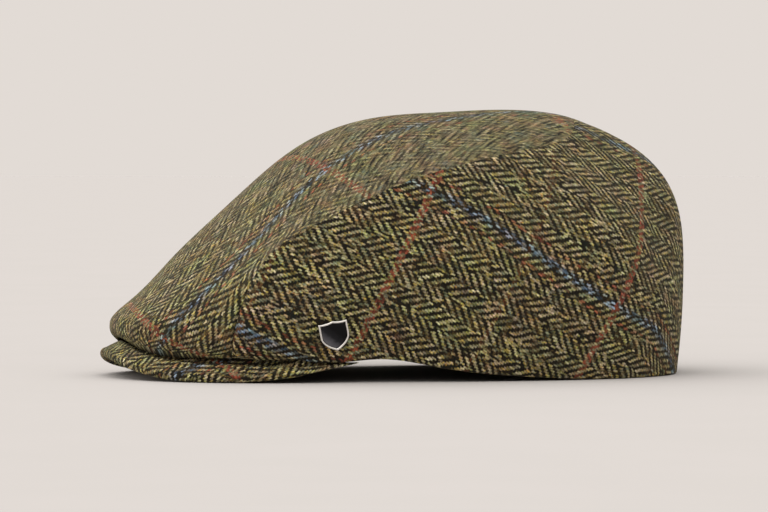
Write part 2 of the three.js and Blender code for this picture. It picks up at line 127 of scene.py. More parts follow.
def spline(knots, values):
    """A natural cubic spline through the rows of values at the knots."""
    steps = np.diff(knots)
    system = np.eye(len(knots))
    right = np.zeros_like(values)
    for i in range(1, len(knots) - 1):
        before, after = steps[i - 1], steps[i]
        system[i, i - 1:i + 2] = before, 2 * (before + after), after
        right[i] = 6 * ((values[i + 1] - values[i]) / after - (values[i] - values[i - 1]) / before)
    bend = np.linalg.solve(system, right)

    def at(where):
        i = np.clip(np.searchsorted(knots, where) - 1, 0, len(steps) - 1)
        step = steps[i][..., None]
        b = (np.asarray(where) - knots[i])[..., None] / step
        a = 1 - b
        curve = (a ** 3 - a) * bend[i] + (b ** 3 - b) * bend[i + 1]
        return a * values[i] + b * values[i + 1] + curve * step ** 2 / 6
    return at


# Mirrored rows past the middle keep the peak and the back of the crown smooth across it.
peak_mirror = PEAK_ROWS[2:0:-1] * (-1, 1, 1, 1)
peak_table = np.vstack([peak_mirror, PEAK_ROWS])
peak_heights = spline(peak_table[:, 0], peak_table[:, 1:])
rib_mirror = RIBS[-2:-4:-1] * (1, 1, -1, 1, 1, -1, 1, 1, 1, 1, 1, 1)
rib_table = np.vstack([RIBS, rib_mirror])
crest_steps = np.linalg.norm(np.diff(rib_table[:, 0:2], axis=0), axis=1)
seam_steps = np.linalg.norm(np.diff(rib_table[:, 2:5], axis=0), axis=1)
rib_knots = np.concatenate([[0.0], np.cumsum((crest_steps + seam_steps) / 2)])
rib_values = spline(rib_knots, rib_table)
RIB_LENGTH = rib_knots[len(RIBS) - 1]


def peak_halves(across):
    """Half width and depth of the peak's oval, 0..1 from the inner to the outer edge."""
    return [inner + (outer - inner) * across for inner, outer in zip(PEAK_INNER, PEAK_OUTER)]


def peak_point(angle, across):
    """A point of the peak's top: degrees from the middle, 0..1 from the inner to the outer edge."""
    half_x, half_y = peak_halves(across)
    turn = np.radians(angle)
    edge_z, inner_z, _ = np.moveaxis(peak_heights(np.minimum(np.abs(angle), 90)), -1, 0)
    x = np.sign(angle) * half_x * np.abs(np.sin(turn)) ** (2 / PEAK_ROUND)
    y = PEAK_TIP_Y - half_y * np.abs(np.cos(turn)) ** (2 / PEAK_ROUND)
    z = inner_z + (edge_z - inner_z) * across ** PEAK_DROP
    return np.stack(np.broadcast_arrays(x, y, z), axis=-1)


def peak_place(x, y):
    """Degrees from the middle and share of the width of the peak at a point of the plan."""
    ahead = np.maximum(PEAK_TIP_Y - y, 0)
    low = np.zeros_like(x)
    high = np.full_like(x, PEAK_SEARCH)
    for _ in range(HALVINGS):
        middle = (low + high) / 2
        half_x, half_y = peak_halves(middle)
        inside = (np.abs(x) / half_x) ** PEAK_ROUND + (ahead / half_y) ** PEAK_ROUND < 1
        high = np.where(inside, middle, high)
        low = np.where(inside, low, middle)
    power = PEAK_ROUND / 2
    turn = np.arctan2((np.abs(x) / half_x) ** power, (ahead / half_y) ** power)
    return np.degrees(turn), low


def peak_top(x, y):
    """Height of the peak's top surface under a point of the plan."""
    return peak_point(*peak_place(x, y))[..., 2]


def rib_at(along):
    """Crest, seam and hem points and the rib's four shape values at distances along the crown."""
    value = rib_values(along)
    crest = np.concatenate([np.zeros_like(value[..., :1]), value[..., 0:2]], axis=-1)
    seam = value[..., 2:5]
    hem = value[..., 5:8].copy()
    hem[..., 2] = np.maximum(hem[..., 2] - HEM_SETTLE, 0)
    on_peak = peak_top(hem[..., 0], hem[..., 1]) + GAP
    hem[..., 2] = np.where(hem[..., 1] < PEAK_TIP_Y, on_peak, hem[..., 2])
    return crest, seam, hem, value[..., 8:12]


def mesh_shares(length):
    """Shares 0..1 of a length, stepping from fine at its rolled ends to coarse inside."""
    rising = [FINE]
    while rising[-1] * GROWTH < COARSE:
        rising.append(rising[-1] * GROWTH)
    falling = rising[::-1]
    inside = length - sum(rising) - sum(falling)
    count = max(round(inside / COARSE), 1)
    steps = np.array(rising + [inside / count] * count + falling)
    return np.concatenate([[0.0], np.cumsum(steps)]) / steps.sum()


def top_grid(along, across):
    """Points of the top panel's upper side; across runs from 1 at the left seam to -1."""
    crest, seam, _, shape = rib_at(along)
    square = np.asarray(across) ** 2
    bow = square * (1 - shape[:, 2:3] + shape[:, 2:3] * square)
    arch = square * (1 - shape[:, 3:4] + shape[:, 3:4] * square)
    x = seam[:, 0:1] * across
    y = crest[:, 1:2] + (seam[:, 1:2] - crest[:, 1:2]) * bow
    z = crest[:, 2:3] + (seam[:, 2:3] - crest[:, 2:3]) * arch
    z[0] = peak_top(x[0], y[0]) + GAP
    return np.stack([x, y, z], axis=-1)


def unit(vectors):
    """The vectors, each made one long."""
    return vectors / np.maximum(np.linalg.norm(vectors, axis=-1, keepdims=True), TINY)


def grid_normals(grid):
    """Outward normals of a grid whose rows run back and whose columns turn to the left."""
    return unit(np.cross(np.gradient(grid, axis=0), np.gradient(grid, axis=1)))


def share(value):
    """The value, held between 0 and 1."""
    return np.clip(value, 0, 1)


def edge_distances(grid):
    """Distance over the cloth from the first and last row and the first and last column."""
    down = np.linalg.norm(np.diff(grid, axis=0), axis=-1)
    over = np.linalg.norm(np.diff(grid, axis=1), axis=-1)
    row = np.concatenate([np.zeros_like(down[:1]), np.cumsum(down, axis=0)])
    column = np.concatenate([np.zeros_like(over[:, :1]), np.cumsum(over, axis=1)], axis=1)
    return row, row[-1] - row, column, column[:, -1:] - column


def flatten(grid):
    """Flat cut of a curved panel as complex numbers: each small triangle keeps its shape
    as far as the others let it, by turns of fitting rotations and solving for the points."""
    rows, columns = grid.shape[:2]
    index = np.arange(rows * columns).reshape(rows, columns)
    a, b, c, d = index[:-1, :-1], index[1:, :-1], index[1:, 1:], index[:-1, 1:]
    triangles = np.concatenate([np.stack(three, -1).reshape(-1, 3) for three in ((a, b, c), (a, c, d))])
    first, second, third = (grid.reshape(-1, 3)[triangles[:, k]] for k in range(3))
    base = np.linalg.norm(second - first, axis=1) + SMALL
    along = np.sum((third - first) * (second - first), axis=1) / base
    off = np.sqrt(np.maximum(np.sum((third - first) ** 2, axis=1) - along ** 2, SMALL))
    local = np.stack([np.zeros_like(base), base, along + 1j * off], axis=1)
    starts = triangles[:, [1, 2, 0]]
    ends = triangles[:, [2, 0, 1]]
    sides = local[:, [2, 0, 1]] - local[:, [1, 2, 0]]
    corner = np.conj(local[:, [1, 2, 0]] - local) * (local[:, [2, 0, 1]] - local)
    weight = np.clip(corner.real / np.maximum(corner.imag, SMALL), *FLAT_WEIGHTS)
    system = np.zeros((rows * columns, rows * columns))
    for one, other in ((starts, ends), (ends, starts)):
        np.add.at(system, (one, one), weight)
        np.add.at(system, (one, other), -weight)
    system[0, 0] += 1
    inverse = np.linalg.inv(system)
    row, _, column, _ = edge_distances(grid)
    middle = slice(columns // 2, columns // 2 + 1)
    flat = (row[:, middle] + 1j * (column - column[:, middle])).reshape(-1)
    for _ in range(FLAT_ROUNDS):
        turn = np.sum(weight * np.conj(sides) * (flat[ends] - flat[starts]), axis=1)
        turn = (turn / np.maximum(np.abs(turn), TINY))[:, None]
        pull = np.zeros(rows * columns, complex)
        np.add.at(pull, ends, weight * turn * sides)
        np.add.at(pull, starts, -weight * turn * sides)
        flat = inverse @ pull
    return flat.reshape(rows, columns)


def fine_flat(flat, rows_from, columns_from, rows_to, columns_to):
    """The flat cut of a coarse grid, carried to a finer grid by splines both ways."""
    pair = np.stack([flat.real, flat.imag], axis=-1)
    tall = spline(rows_from, pair.reshape(len(rows_from), -1))(rows_to)
    tall = tall.reshape(len(rows_to), len(columns_from), 2).transpose(1, 0, 2)
    wide = spline(columns_from, tall.reshape(len(columns_from), -1))(columns_to)
    wide = wide.reshape(len(columns_to), len(rows_to), 2).transpose(1, 0, 2)
    return wide[..., 0] + 1j * wide[..., 1]


def nearest(grid, axes, place):
    """Index of the grid point nearest to a place given on two of the axes."""
    miss = np.linalg.norm(grid[..., list(axes)] - np.array(place), axis=-1)
    return np.unravel_index(np.argmin(miss), miss.shape)


def lay_grain(flat, grid, axes, blue_line, red_lines):
    """Weave coordinates of a flat cut: a blue warp line through its places, and red weft lines
    through one place each. Pressing bends and stretches the grain a little between them."""
    blue = np.array([flat[nearest(grid, axes, place)] for place in blue_line])
    red = np.array([flat[nearest(grid, axes, place)] for place in red_lines])
    turn = abs(blue[-1] - blue[0]) / (blue[-1] - blue[0])
    laid, blue, red = ((places - blue[0]) * turn for places in (flat, blue, red))
    bend = np.polyfit(blue.real, blue.imag, min(len(blue) - 1, GRAIN_DEGREE))
    known = np.clip(laid.real, blue.real.min(), blue.real.max())
    across = laid.imag - np.polyval(bend, known)
    along = laid.real - red[0].real
    if len(red) > 1:
        lines = np.arange(len(red)) * RED_EVERY * WEFT_PITCH
        along = np.polyval(np.polyfit(red.real, lines, len(red) - 1), laid.real)
    return along + 1j * across


def slow_relief(flat, seed):
    """Gentle unevenness of the cloth, as a sum of long waves in the flat cut."""
    random = np.random.default_rng(seed)
    height = np.zeros(flat.shape)
    for _ in range(RELIEF_WAVES):
        length = random.uniform(*RELIEF_LENGTHS)
        heading = np.exp(1j * random.uniform(0, math.tau))
        height += np.sin((flat * heading).real * math.tau / length + random.uniform(0, math.tau))
    return height / RELIEF_WAVES


def puckers(run, seed):
    """Uneven ripples along a seam, for distances run along it."""
    random = np.random.default_rng(seed)
    lengths = random.uniform(*PUCKER_LENGTHS, PUCKER_WAVES)
    phases = random.uniform(0, math.tau, PUCKER_WAVES)
    return np.mean([np.sin(run * math.tau / n + k) for n, k in zip(lengths, phases)], axis=0)


def add_piece(name, points, faces, material):
    """A smooth mesh piece that rides on the cap's one body, from points in millimetres."""
    mesh = bpy.data.meshes.new(name)
    mesh.from_pydata((points * MM).tolist(), [], faces)
    mesh.polygons.foreach_set("use_smooth", np.ones(len(faces), bool))
    mesh.materials.append(material)
    mesh.update()
    piece = bpy.data.objects.new(name, mesh)
    bpy.context.collection.objects.link(piece)
    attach(piece, "root")
    return piece


def cloth_piece(name, outer, inner, weave, inner_weave, nap_and_sheen):
    """A closed piece of tweed from an outer and an inner grid that share their rim; nap_and_sheen
    is how far the brushed nap hides the weave, 0 to 1, and on the crown it is partly painted sheen."""
    inside = (slice(1, -1), slice(1, -1))
    upper = np.arange(outer[..., 0].size).reshape(outer.shape[:2])
    lower = upper.copy()
    lower[inside] = upper.size + np.arange(upper[inside].size).reshape(upper[inside].shape)
    points = np.concatenate([outer.reshape(-1, 3), inner[inside].reshape(-1, 3)])

    def quads(index):
        corners = index[:-1, :-1], index[1:, :-1], index[1:, 1:], index[:-1, 1:]
        return np.stack(corners, -1).reshape(-1, 4)

    faces = np.concatenate([quads(upper), quads(lower)[:, ::-1]])
    piece = add_piece(name, points, faces.tolist(), tweed)
    laid = np.concatenate([weave.reshape(-1), inner_weave[inside].reshape(-1)])
    nap_and_sheen = np.broadcast_to(nap_and_sheen, upper.shape)
    nap_and_sheen = np.concatenate([nap_and_sheen.reshape(-1), nap_and_sheen[inside].reshape(-1)])
    values = np.stack([laid.imag, laid.real, nap_and_sheen], axis=-1)
    attribute = piece.data.attributes.new("weave", "FLOAT_VECTOR", "POINT")
    attribute.data.foreach_set("vector", values.ravel())
    # In the bake the outer side lies in the left half and the inner side in the right half.
    span = max(np.ptp(values[:, 0]) * 2, np.ptp(values[:, 1])) * BAKE_ROOM
    bake = (values[faces.reshape(-1), :2] - values[:, :2].min(axis=0)) / span + BAKE_MARGIN
    bake[len(bake) // 2:, 0] += 0.5
    piece.data.uv_layers.new(name="OFBake").data.foreach_set("uv", bake.ravel())
    return piece


def linear(hex_colour):
    """Linear colour with alpha of an sRGB hex colour."""
    parts = [int(hex_colour[i:i + 2], 16) / 255 for i in (1, 3, 5)]
    return [p / 12.92 if p <= 0.04045 else ((p + 0.055) / 1.055) ** 2.4 for p in parts] + [1.0]


def blank_material(name):
    """A new material with an empty node tree."""
    material = bpy.data.materials.new(name)
    material.use_nodes = True
    material.node_tree.nodes.clear()
    return material, material.node_tree


def add(tree, kind, *inputs, **settings):
    """Adds a shader node, given its kind and, after a space, its operation if it has one.
    An input is a number, a colour, a socket or a node, which gives its first output."""
    kind, _, operation = kind.partition(" ")
    made = tree.nodes.new("ShaderNode" + kind)
    if operation:
        made.operation = operation
    for key, value in settings.items():
        setattr(made, key, value)
    for socket, value in zip(made.inputs, inputs):
        if isinstance(value, bpy.types.Node):
            tree.links.new(value.outputs[0], socket)
        elif isinstance(value, bpy.types.NodeSocket):
            tree.links.new(value, socket)
        elif value is not None:
            socket.default_value = value
    return made


def set_stops(ramp, stops, interpolation="LINEAR"):
    """The colour ramp, with its stops set to pairs of place and hex colour."""
    elements = ramp.color_ramp.elements
    ramp.color_ramp.interpolation = interpolation
    while len(elements) < len(stops):
        elements.new(1.0)
    for element, (place, colour) in zip(elements, stops):
        element.position = place
        element.color = linear(colour)
    return ramp


# Herringbone tweed: two over two twill that turns back every column, a pale heathered warp
# over a near black weft, with a windowpane of blue and orange warp lines and red weft lines.
WARP_PITCH = 0.96  # from one warp thread to the next
WEFT_PITCH = 1.18  # from one weft thread to the next
TWILL = 4.0  # threads after which the twill repeats, two over and two under
COLUMN_THREADS = 8  # warp threads in one herringbone column
BLUE_EVERY = 100  # warp threads from one blue line to the next
BLUE_FADE = (1.5, 3.0)  # warp threads from its middle between which a blue line fades out
ORANGE_ASIDE = 7.0  # warp threads from a blue line to the orange ones beside it
ORANGE_HALF = 0.6  # reach to either side of that place, which takes in two threads
RED_EVERY = 87  # weft threads from one red line to the next, with a rust one between
RED_HALF = 1.5  # half the threads in a red or rust line
CAUGHT_SHARE = 0.05  # share of the floats that lie on the wrong side
FLECK_SHARE = 0.07  # share of the floats with a fleck of other wool
FLECK_STRENGTH = 0.7  # share of its colour that a fleck gives
CAUGHT_SEED = 5.0  # sets the draw of the caught floats apart
WEFT_SEED = 9.0  # and that of the weft
WANDER_REACH = 1.7  # range in which a yarn wanders
RAGGED_REACH = 1.3  # range in which its sides stray
YARN_ROUND = 0.6  # power of the yarn's section, less is flatter on top
FLOAT_ARCH = (0.7, 0.3)  # arch of a float over its two threads, and its height at the ends
WEFT_HEIGHT = 0.6  # height of the weft to that of the warp
FIBRE_HEIGHT = 0.7  # and of the fibres
YARN_RELIEF = 0.45  # height of the warp, for the bump
BUMP_SHARE = 0.7  # how strongly that shows
FIBRES = (4.0, 1.2, 1.0)  # fibres per mm across and along the warp, coarse enough to show
HAIR_SLANT = 56.0  # degrees between the brushed hairs and the weft
HAIR_TUFT = (9.0, 1.4, 1.0)  # length and width of a tuft of them, far coarser than real hairs
LINES_BARE = 0.5  # how much less the nap hides a dyed line
HEATHER_TURNS = 2.6  # how often the heather runs through its wools from patch to patch
FLECK_TURNS = 9.0  # the same for the flecks
WARP_MIX = 0.4  # share of the wools that one patch of the warp mixes
WEFT_MIX = 0.5  # the same for the weft
# Unevenness: patches per mm, layers of finer detail, and how strong these are.
WANDER = (0.22, 2.0, 0.6)
RAGGED = (1.6, 2.0, 0.6)
HEATHER = (0.11, 3.0, 0.62)
FLECK_PATCH = (0.16, 0.0, 0.5)
DYE = (0.34, 2.0, 0.6)
FIBRE = (1.0, 2.0, 0.7)  # per fibre
CLUMP = (1.0, 4.0, 0.8)
CAST = (0.1, 2.0, 0.55)
HAIR = (1.0, 3.0, 0.6)  # per tuft
FELT = (0.13, 3.0, 0.6)
MATTING = (0.3, 2.0, 0.6)
# What that turns into: its values between the first two become the last two.
DYE_TAKEN = (0.36, 0.6, 0.5, 1.0)
RED_DYE_TAKEN = (0.5, 1.0, 0.35, 1.0)
ORANGE_TAKEN = (0.2, 0.8, 0.1, 0.9)
RED_TAKEN = (0.0, 0.6, 0.25, 0.9)
RUST_TAKEN = 0.4  # as a share of what the red takes
YARN_TONE = (0.0, 1.0, 0.28, 1.36)
CLUMP_TONE = (0.3, 0.7, 0.35, 1.55)
# The next one paints shade into the weave where its yarns are low.
PAINTED_HEIGHT_SHADE = (0.15, 1.3, 0.2, 1.1)
HAIR_TONE = (0.38, 0.62, 0.0, 1.8)
FELT_SHARE = (0.32, 0.68, 0.0, 1.0)
MATTED = (0.3, 0.7, 0.4, 1.0)
CAST_LEAST = (0.72, 0.75, 0.62)  # red, green and blue of the drifting blend at the least
CAST_RANGE = (0.6, 0.5, 0.66)  # and how far they drift
WARP_WOOL = [
    # share of the yarn, colour
    (0.0, "#b3a47c"), (0.12, "#cfc5a6"), (0.24, "#98954e"), (0.36, "#bcb196"), (0.48, "#ae9a4e"),
    (0.6, "#7d8672"), (0.72, "#b09f78"), (0.84, "#8f7754"), (0.93, "#aaa679"),
]
WEFT_WOOL = [
    (0.0, "#231b12"), (0.28, "#14120c"), (0.46, "#2e2416"), (0.62, "#161f1b"), (0.76, "#342619"),
    (0.86, "#62512f"), (0.94, "#2a2116"),
]
FLECKS = [(0.0, "#ad8a36"), (0.28, "#a0603a"), (0.46, "#5f7d7f"), (0.64, "#b0a04c"), (0.84, "#7a8748")]
# Colours of the nap's felt, which on the crown also paint the nap's sheen.
FELT_WOOL = [(0.0, "#566055"), (0.3, "#635d45"), (0.5, "#56543d"), (0.7, "#6c5f45"), (1.0, "#695546")]
BLUES = [(0.0, "#42566b"), (0.5, "#627a91"), (1.0, "#94a9bb")]
ORANGE = "#98503a"
RED = "#b65f47"
RUST = "#9c603e"


def make_tweed():
    """Wool tweed: matt and softly napped, strokes of pale beads of yarn on a dark ground."""
    material, tree = blank_material("herringbone_wool_tweed")
    node = functools.partial(add, tree)
    weave = node("Attribute", attribute_name="weave").outputs["Vector"]
    nap_and_sheen = node("SeparateXYZ", weave).outputs["Z"]

    # Hand-spun yarn wanders by a fraction of its pitch and has ragged sides.
    moved = weave
    for noise, reach in ((WANDER, WANDER_REACH), (RAGGED, RAGGED_REACH)):
        stray = node("TexNoise", weave, None, *noise).outputs["Color"]
        back = (-reach / 2, -reach / 2, 0.0)
        stray = node("VectorMath MULTIPLY_ADD", stray, (reach, reach, 0.0), back)
        moved = node("VectorMath ADD", moved, stray)
    threads = node("VectorMath MULTIPLY", moved, (1 / WARP_PITCH, 1 / WEFT_PITCH, 0.0))
    warp_number, weft_number, _ = node("SeparateXYZ", node("VectorMath FLOOR", threads)).outputs
    warp_part, weft_part, _ = node("SeparateXYZ", node("VectorMath FRACTION", threads)).outputs

    # The twill climbs one thread per warp thread and turns back with a cut at each column.
    climb = node("Math ADD", warp_number, 0.5)
    climb = node("Math FLOOR", node("Math PINGPONG", climb, COLUMN_THREADS))
    turned = node("Math FRACT", node("Math MULTIPLY", warp_number, 0.5 / COLUMN_THREADS))
    turned = node("Math GREATER_THAN", turned, 0.49)
    shifted = node("Math MULTIPLY_ADD", turned, TWILL / 2, climb)
    shifted = node("Math ADD", shifted, weft_number)
    phase = node("Math FLOORED_MODULO", shifted, TWILL)
    warp_up = node("Math LESS_THAN", phase, TWILL / 2 - 0.5)
    # A few floats are caught under their neighbours or pulled out over them.
    half_float = node("Math FLOOR", node("Math MULTIPLY", shifted, 2 / TWILL))
    caught = node("CombineXYZ", warp_number, half_float, CAUGHT_SEED)
    caught = node("TexWhiteNoise", caught, noise_dimensions="3D")
    caught = node("Math LESS_THAN", caught, CAUGHT_SHARE)
    warp_up = node("Math ABSOLUTE", node("Math SUBTRACT", warp_up, caught))

    # Each float of yarn has its own tone, and the heather changes from patch to patch.
    own = node("CombineXYZ", warp_number, half_float)
    own = node("TexWhiteNoise", own, noise_dimensions="3D").outputs["Color"]
    own_kind, own_tone, own_fleck = node("SeparateColor", own).outputs
    weft_pair = node("Math FLOOR", node("Math MULTIPLY", warp_number, 2 / TWILL))
    weft_own = node("CombineXYZ", weft_pair, weft_number, WEFT_SEED)
    weft_own = node("TexWhiteNoise", weft_own, noise_dimensions="3D")
    patch = node("Math MULTIPLY", node("TexNoise", weave, None, *HEATHER), HEATHER_TURNS)
    warp_colour = node("Math FRACT", node("Math MULTIPLY_ADD", own_kind, WARP_MIX, patch))
    warp_colour = set_stops(node("ValToRGB", warp_colour), WARP_WOOL)
    weft_colour = node("Math FRACT", node("Math MULTIPLY_ADD", weft_own, WEFT_MIX, patch))
    weft_colour = set_stops(node("ValToRGB", weft_colour), WEFT_WOOL)

    # Flecks of other dyed wool caught in the spinning.
    fleck = node("Math MULTIPLY", node("TexNoise", weave, None, *FLECK_PATCH), FLECK_TURNS)
    fleck = set_stops(node("ValToRGB", node("Math FRACT", fleck)), FLECKS, "CONSTANT")
    is_fleck = node("MapRange", own_fleck, 1 - FLECK_SHARE, 1 - FLECK_SHARE / 2, 0.0, FLECK_STRENGTH)
    warp_colour = node("MixRGB", is_fleck, warp_colour, fleck)

    # Windowpane lines are small groups of dyed yarns that show only where these float.
    # Their dye took unevenly, so they come and go.
    dye = node("MapRange", node("TexNoise", weave, None, *DYE), *DYE_TAKEN)
    # A blue line has its middle between two threads and a red line on a thread.
    offsets = []
    for number, every, middle in ((warp_number, BLUE_EVERY, 0.5), (weft_number, RED_EVERY, 0.0)):
        cycle = node("Math FLOORED_MODULO", node("Math ADD", number, every / 2), every)
        offsets.append(node("Math ABSOLUTE", node("Math SUBTRACT", cycle, every / 2 - middle)))
    blue_off, red_off = offsets
    is_blue = node("MapRange", blue_off, *BLUE_FADE, 1.0, 0.0)
    is_orange = node("Math COMPARE", blue_off, ORANGE_ASIDE, ORANGE_HALF)
    is_red = node("Math LESS_THAN", red_off, RED_HALF)
    is_rust = node("Math GREATER_THAN", red_off, RED_EVERY / 2 - RED_HALF)
    blue = set_stops(node("ValToRGB", own_tone), BLUES)
    warp_colour = node("MixRGB", node("Math MULTIPLY", is_blue, dye), warp_colour, blue)
    taken = node("Math MULTIPLY", node("MapRange", own_kind, *ORANGE_TAKEN), is_orange)
    warp_colour = node("MixRGB", taken, warp_colour, linear(ORANGE))
    taken = node("MapRange", dye, *RED_DYE_TAKEN)
    taken = node("Math MULTIPLY", node("MapRange", weft_own, *RED_TAKEN), taken)
    weft_colour = node("MixRGB", node("Math MULTIPLY", is_red, taken), weft_colour, linear(RED))
    taken = node("Math MULTIPLY", taken, RUST_TAKEN)
    weft_colour = node("MixRGB", node("Math MULTIPLY", is_rust, taken), weft_colour, linear(RUST))

    # Round yarns: highest in the middle of the yarn and of its float, with shade painted dark where they
    # dive.
    warp_round = node("Math SINE", node("Math MULTIPLY", warp_part, math.pi))
    weft_round = node("Math SINE", node("Math MULTIPLY", weft_part, math.pi))
    arch = node("Math MULTIPLY", node("Math ADD", phase, weft_part), math.tau / TWILL)
    arch = node("Math ABSOLUTE", node("Math SINE", arch))
    arch = node("Math MULTIPLY_ADD", arch, *FLOAT_ARCH)
    warp_height = node("Math MULTIPLY", node("Math POWER", warp_round, YARN_ROUND), arch)
    weft_height = node("Math MULTIPLY", weft_round, WEFT_HEIGHT)
    height = node("Mix", warp_up, None, weft_height, warp_height)
    fibre = node("TexNoise", node("VectorMath MULTIPLY", weave, FIBRES), None, *FIBRE)
    height = node("Math MULTIPLY_ADD", fibre, FIBRE_HEIGHT, height)
    tone = node("MapRange", own_tone, *YARN_TONE)
    warp_colour = node("MixRGB", 1.0, warp_colour, tone, blend_type="MULTIPLY")
    colour = node("MixRGB", warp_up, weft_colour, warp_colour)
    clump = node("MapRange", node("TexNoise", weave, None, *CLUMP), *CLUMP_TONE)
    # Painted shade: the colour darkens where the weave is low and the yarns dive, times the random tone of
    # the clumps.
    tone = node("Math MULTIPLY", node("MapRange", height, *PAINTED_HEIGHT_SHADE), clump)
    # The blend of dyed wools shifts from patch to patch, towards green, plum, tan or blue.
    cast = node("TexNoise", weave, None, *CAST).outputs["Color"]
    cast = node("VectorMath MULTIPLY_ADD", cast, CAST_RANGE, CAST_LEAST)
    for layer in (tone, cast):
        colour = node("MixRGB", 1.0, colour, layer, blend_type="MULTIPLY")

    # A brushed nap of hairs, slanting off the weft, half hides the weave. It is laid on the crown far more
    # than on the sides, as painted sheen of the light that the nap catches on top.
    hair_turn = (0.0, 0.0, math.radians(HAIR_SLANT))
    hairs = node("Mapping", weave, None, hair_turn, HAIR_TUFT, vector_type="TEXTURE")
    hairs = node("MapRange", node("TexNoise", hairs, None, *HAIR), *HAIR_TONE)
    felt = node("MapRange", node("TexNoise", weave, None, *FELT), *FELT_SHARE)
    felt = set_stops(node("ValToRGB", felt), FELT_WOOL)
    for layer in (cast, hairs):
        felt = node("MixRGB", 1.0, felt, layer, blend_type="MULTIPLY")
    matted = node("MapRange", node("TexNoise", weave, None, *MATTING), *MATTED)
    dyed = node("Math MAXIMUM", is_blue, node("Math MAXIMUM", is_orange, is_red))
    matted = node("Math MULTIPLY", matted, node("Math MULTIPLY_ADD", dyed, -LINES_BARE, 1.0))
    colour = node("MixRGB", node("Math MULTIPLY", nap_and_sheen, matted), colour, felt)

    bump = node("Bump", BUMP_SHARE, YARN_RELIEF * MM, None, height)
    shader = node("BsdfPrincipled", colour)
    shader.inputs["Roughness"].default_value = 0.93
    shader.inputs["Specular IOR Level"].default_value = 0.2
    shader.inputs["Sheen Weight"].default_value = 0.1
    shader.inputs["Sheen Roughness"].default_value = 0.45
    shader.inputs["Sheen Tint"].default_value = linear("#b4b298")
    tree.links.new(bump.outputs[0], shader.inputs["Normal"])
    node("OutputMaterial", shader)
    return material


def rounded(edge, reach):
    """Share of its way down that a cloth edge has rounded off at a distance from the edge."""
    near = 1 - np.minimum(edge / reach, 1)
    return 1 - np.sqrt(1 - near ** 2)


def on_the_peak(points):
    """The same points, lifted clear of the peak where they would sink into it."""
    ahead = (points[..., 1] < PEAK_TIP_Y) & (points[..., 2] < PEAK_ROWS[0, 2])
    lowest = peak_top(points[ahead][:, 0], points[ahead][:, 1]) + GAP
    points[ahead, 2] = np.maximum(points[ahead, 2], lowest)
    return points


def cloth_sides(grid, normal, lift, slot, seam, free):
    """Outer and inner points of a panel that lifts off its grid, from the distances to its seams
    and to its free edges, where it rounds off."""
    rim = CLOTH / 2 + (SEAM_GROOVE - CLOTH / 2) * share(free / ROLL_REACH)
    end = CLOTH / 2 * rounded(free, CLOTH / 2)
    drop = np.maximum(rim * rounded(seam, SEAM_ROUND), end)
    rise = np.maximum((CLOTH - rim) * rounded(seam, TURNED_ROUND), end)
    heights = lift - drop, lift - CLOTH + rise
    return [on_the_peak(grid + normal * height[..., None] + slot) for height in heights]


tweed = make_tweed()
# Plan x, y of places on a blue line, from the front to the back, and on three red lines.
TOP_BLUE = [
    (46.0, -118.4), (54.8, -83.1), (52.8, -61.6), (39.3, -31.9), (36.9, -11.2), (31.7, -1.2), (10.0, 62.0),
]
TOP_REDS = [(34.3, -125.8), (43.7, -43.1), (21.2, 74.9)]
WEFT_LEAN = 0.4  # how far forward the weft runs for each mm to the left, at the front
LEAN_SIDES = (-35.0, 45.0)  # plan distances from the red line's place between which it does
LEAN_REACH = 60.0  # distance from the front where the weft is straight again
TOP_WIDTH = 185.0  # about, for the mesh step
TOP_END = 0.9985  # share of the crown's length where the panel ends in its point
TOP_FLAT_END = 0.985  # the same for its flat cut, which keeps a little width there
TOP_FLAT_GRID = (46, 25)  # places along and across it
TOP_CALM = (20, 40)  # distances from the seams and the front over which unevenness sets in
# The crown's nap is partly painted sheen, the light that a nap catches on top.
TOP_NAP_AND_SHEEN = (0.1, 0.85)  # share of brushed nap at the front and on the crown
NAP_REACH = (30.0, 130.0)  # distances from the front where it starts and is full
TOP_SEEDS = (3, 5)  # of the puckers and the unevenness

along = RIB_LENGTH * TOP_END * mesh_shares(RIB_LENGTH)
across = 1 - 2 * mesh_shares(TOP_WIDTH)
grid = top_grid(along, across)
coarse_along = RIB_LENGTH * np.linspace(0, TOP_FLAT_END, TOP_FLAT_GRID[0])
coarse_across = np.linspace(1, -1, TOP_FLAT_GRID[1])
coarse = top_grid(coarse_along, coarse_across)
top_flat = fine_flat(flatten(coarse), coarse_along, -coarse_across, along, -across)
normal = grid_normals(grid)
front, back, left, right = edge_distances(grid)
top_weave = lay_grain(top_flat, grid, (0, 1), TOP_BLUE, TOP_REDS)
aside = np.clip(grid[..., 0] - TOP_REDS[0][0], *LEAN_SIDES)
top_weave += WEFT_LEAN * aside * share(1 - front / LEAN_REACH)
nap_and_sheen = np.interp(front, NAP_REACH, TOP_NAP_AND_SHEEN)
seam = np.minimum(left, right)
to_point = share(back / POINT_REACH)
sink = SEAM_SINK * np.exp(-(seam / SEAM_REACH) ** 2) * to_point
ripple = PUCKER * puckers(front, TOP_SEEDS[0]) * np.exp(-seam / PUCKER_REACH) * to_point
swell = RELIEF * slow_relief(top_flat, TOP_SEEDS[1])
swell = swell * share(seam / TOP_CALM[0]) * share(front / TOP_CALM[1])
lift = ripple + swell - sink - ROLL * rounded(front, ROLL_REACH)
